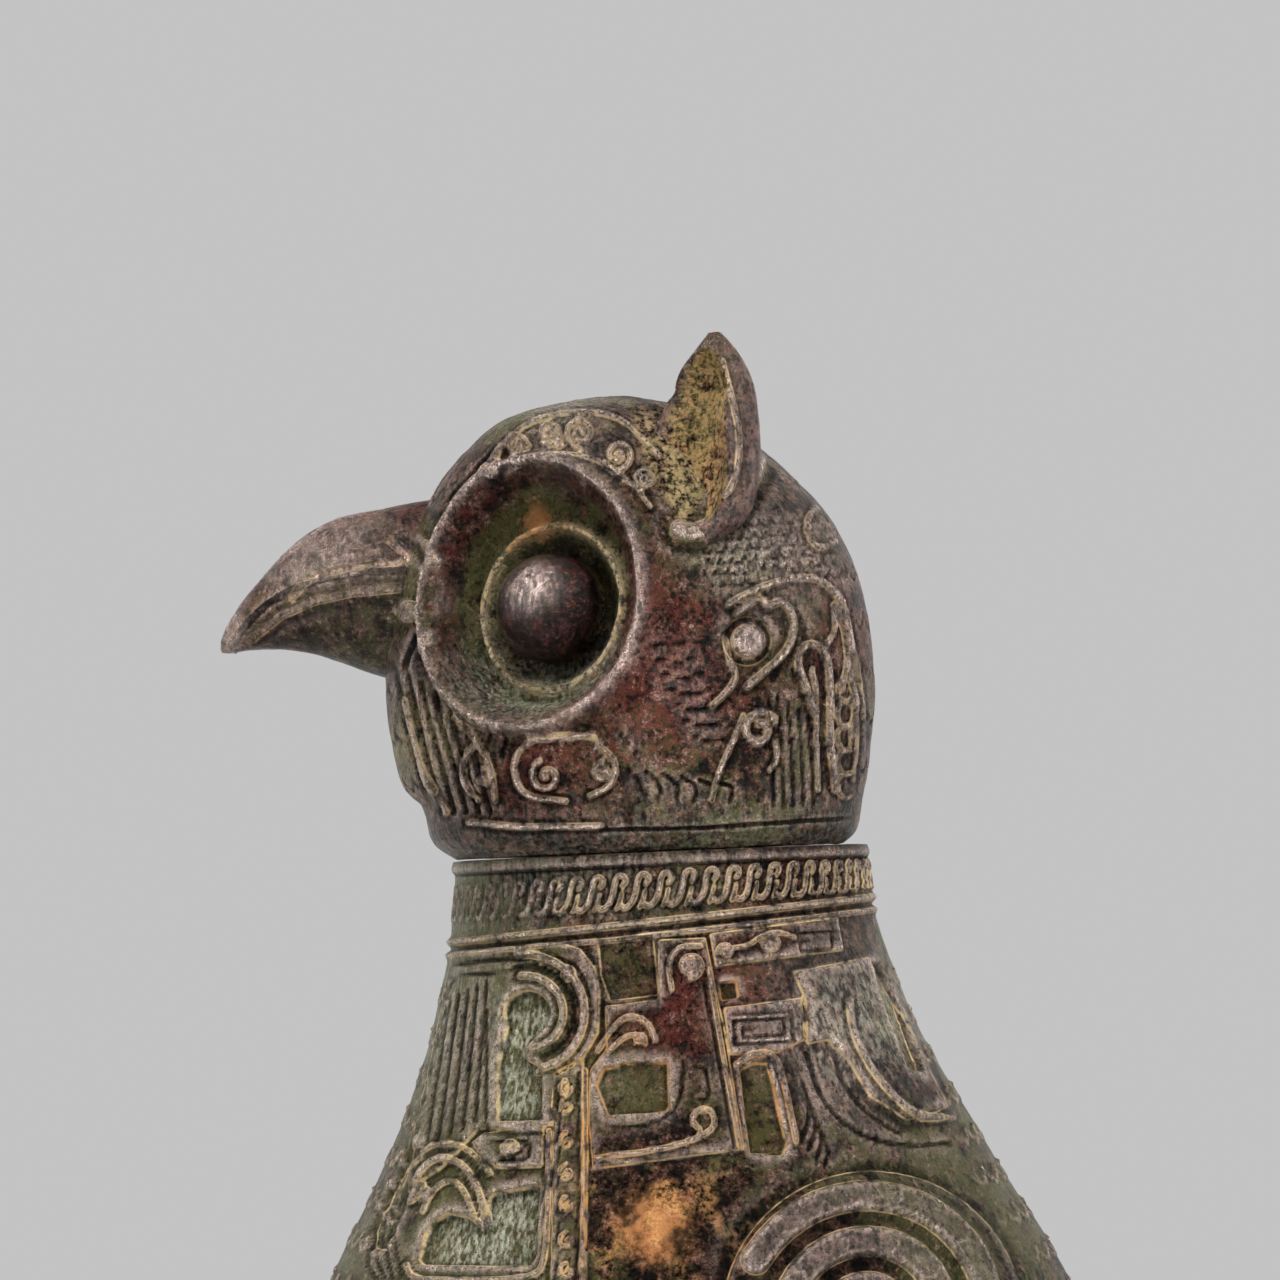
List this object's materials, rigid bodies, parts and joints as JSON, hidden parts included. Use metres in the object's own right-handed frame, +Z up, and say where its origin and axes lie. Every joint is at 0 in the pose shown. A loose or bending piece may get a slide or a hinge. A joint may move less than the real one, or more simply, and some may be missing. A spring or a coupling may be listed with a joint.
{
  "type": "owl-shaped wine vessel",
  "caption": "Bronze wine vessel shaped as a standing owl, with hooked beak, upright ears and a round neck; the head lifts off as the lid.",
  "frame": {"origin": "on the ground, at the centre of the outline seen from above", "axes": "+Z up; the owl faces -Y; its left side is +X"},
  "size_m": [0.1552, 0.193, 0.3064],
  "materials": {
    "body_bronze": "patinated, grey-green and brown, rust in the recesses",
    "head_bronze": "patinated, dark brown with green and cream earth in the grooves",
    "flange_bronze": "patinated, dull",
    "beak_bronze": "patinated, red-brown on top",
    "ear_bronze": "patinated, dark purple-brown, ochre in the cup",
    "eye_bronze": "smooth, dark purple-brown, semi-gloss",
    "leg_bronze": "patinated, grey-green and brown",
    "core_clay": "fired clay, matt",
    "tail_bronze": "patinated, grey-green and brown"
  },
  "bodies": {
    "vessel": {"vessel_body": "body_bronze", "left_leg": "leg_bronze", "right_leg": "leg_bronze", "left_leg_core": "core_clay", "right_leg_core": "core_clay", "tail": "tail_bronze"},
    "flange": {"lid_flange": "flange_bronze"},
    "head": {"head_lid": "head_bronze", "beak": "beak_bronze", "left_ear": "ear_bronze", "right_ear": "ear_bronze", "left_eye": "eye_bronze", "right_eye": "eye_bronze"}
  },
  "joints": [
    {"name": "lid_lift", "type": "slide", "parent": "vessel", "child": "flange", "axis": [0, 0, 1], "range_m": [0, 0.06]},
    {"name": "lid_turn", "type": "hinge", "parent": "flange", "child": "head", "pos_m": [0, -0.0065, 0.2], "axis": [0, 0, 1], "continuous": true}
  ]
}
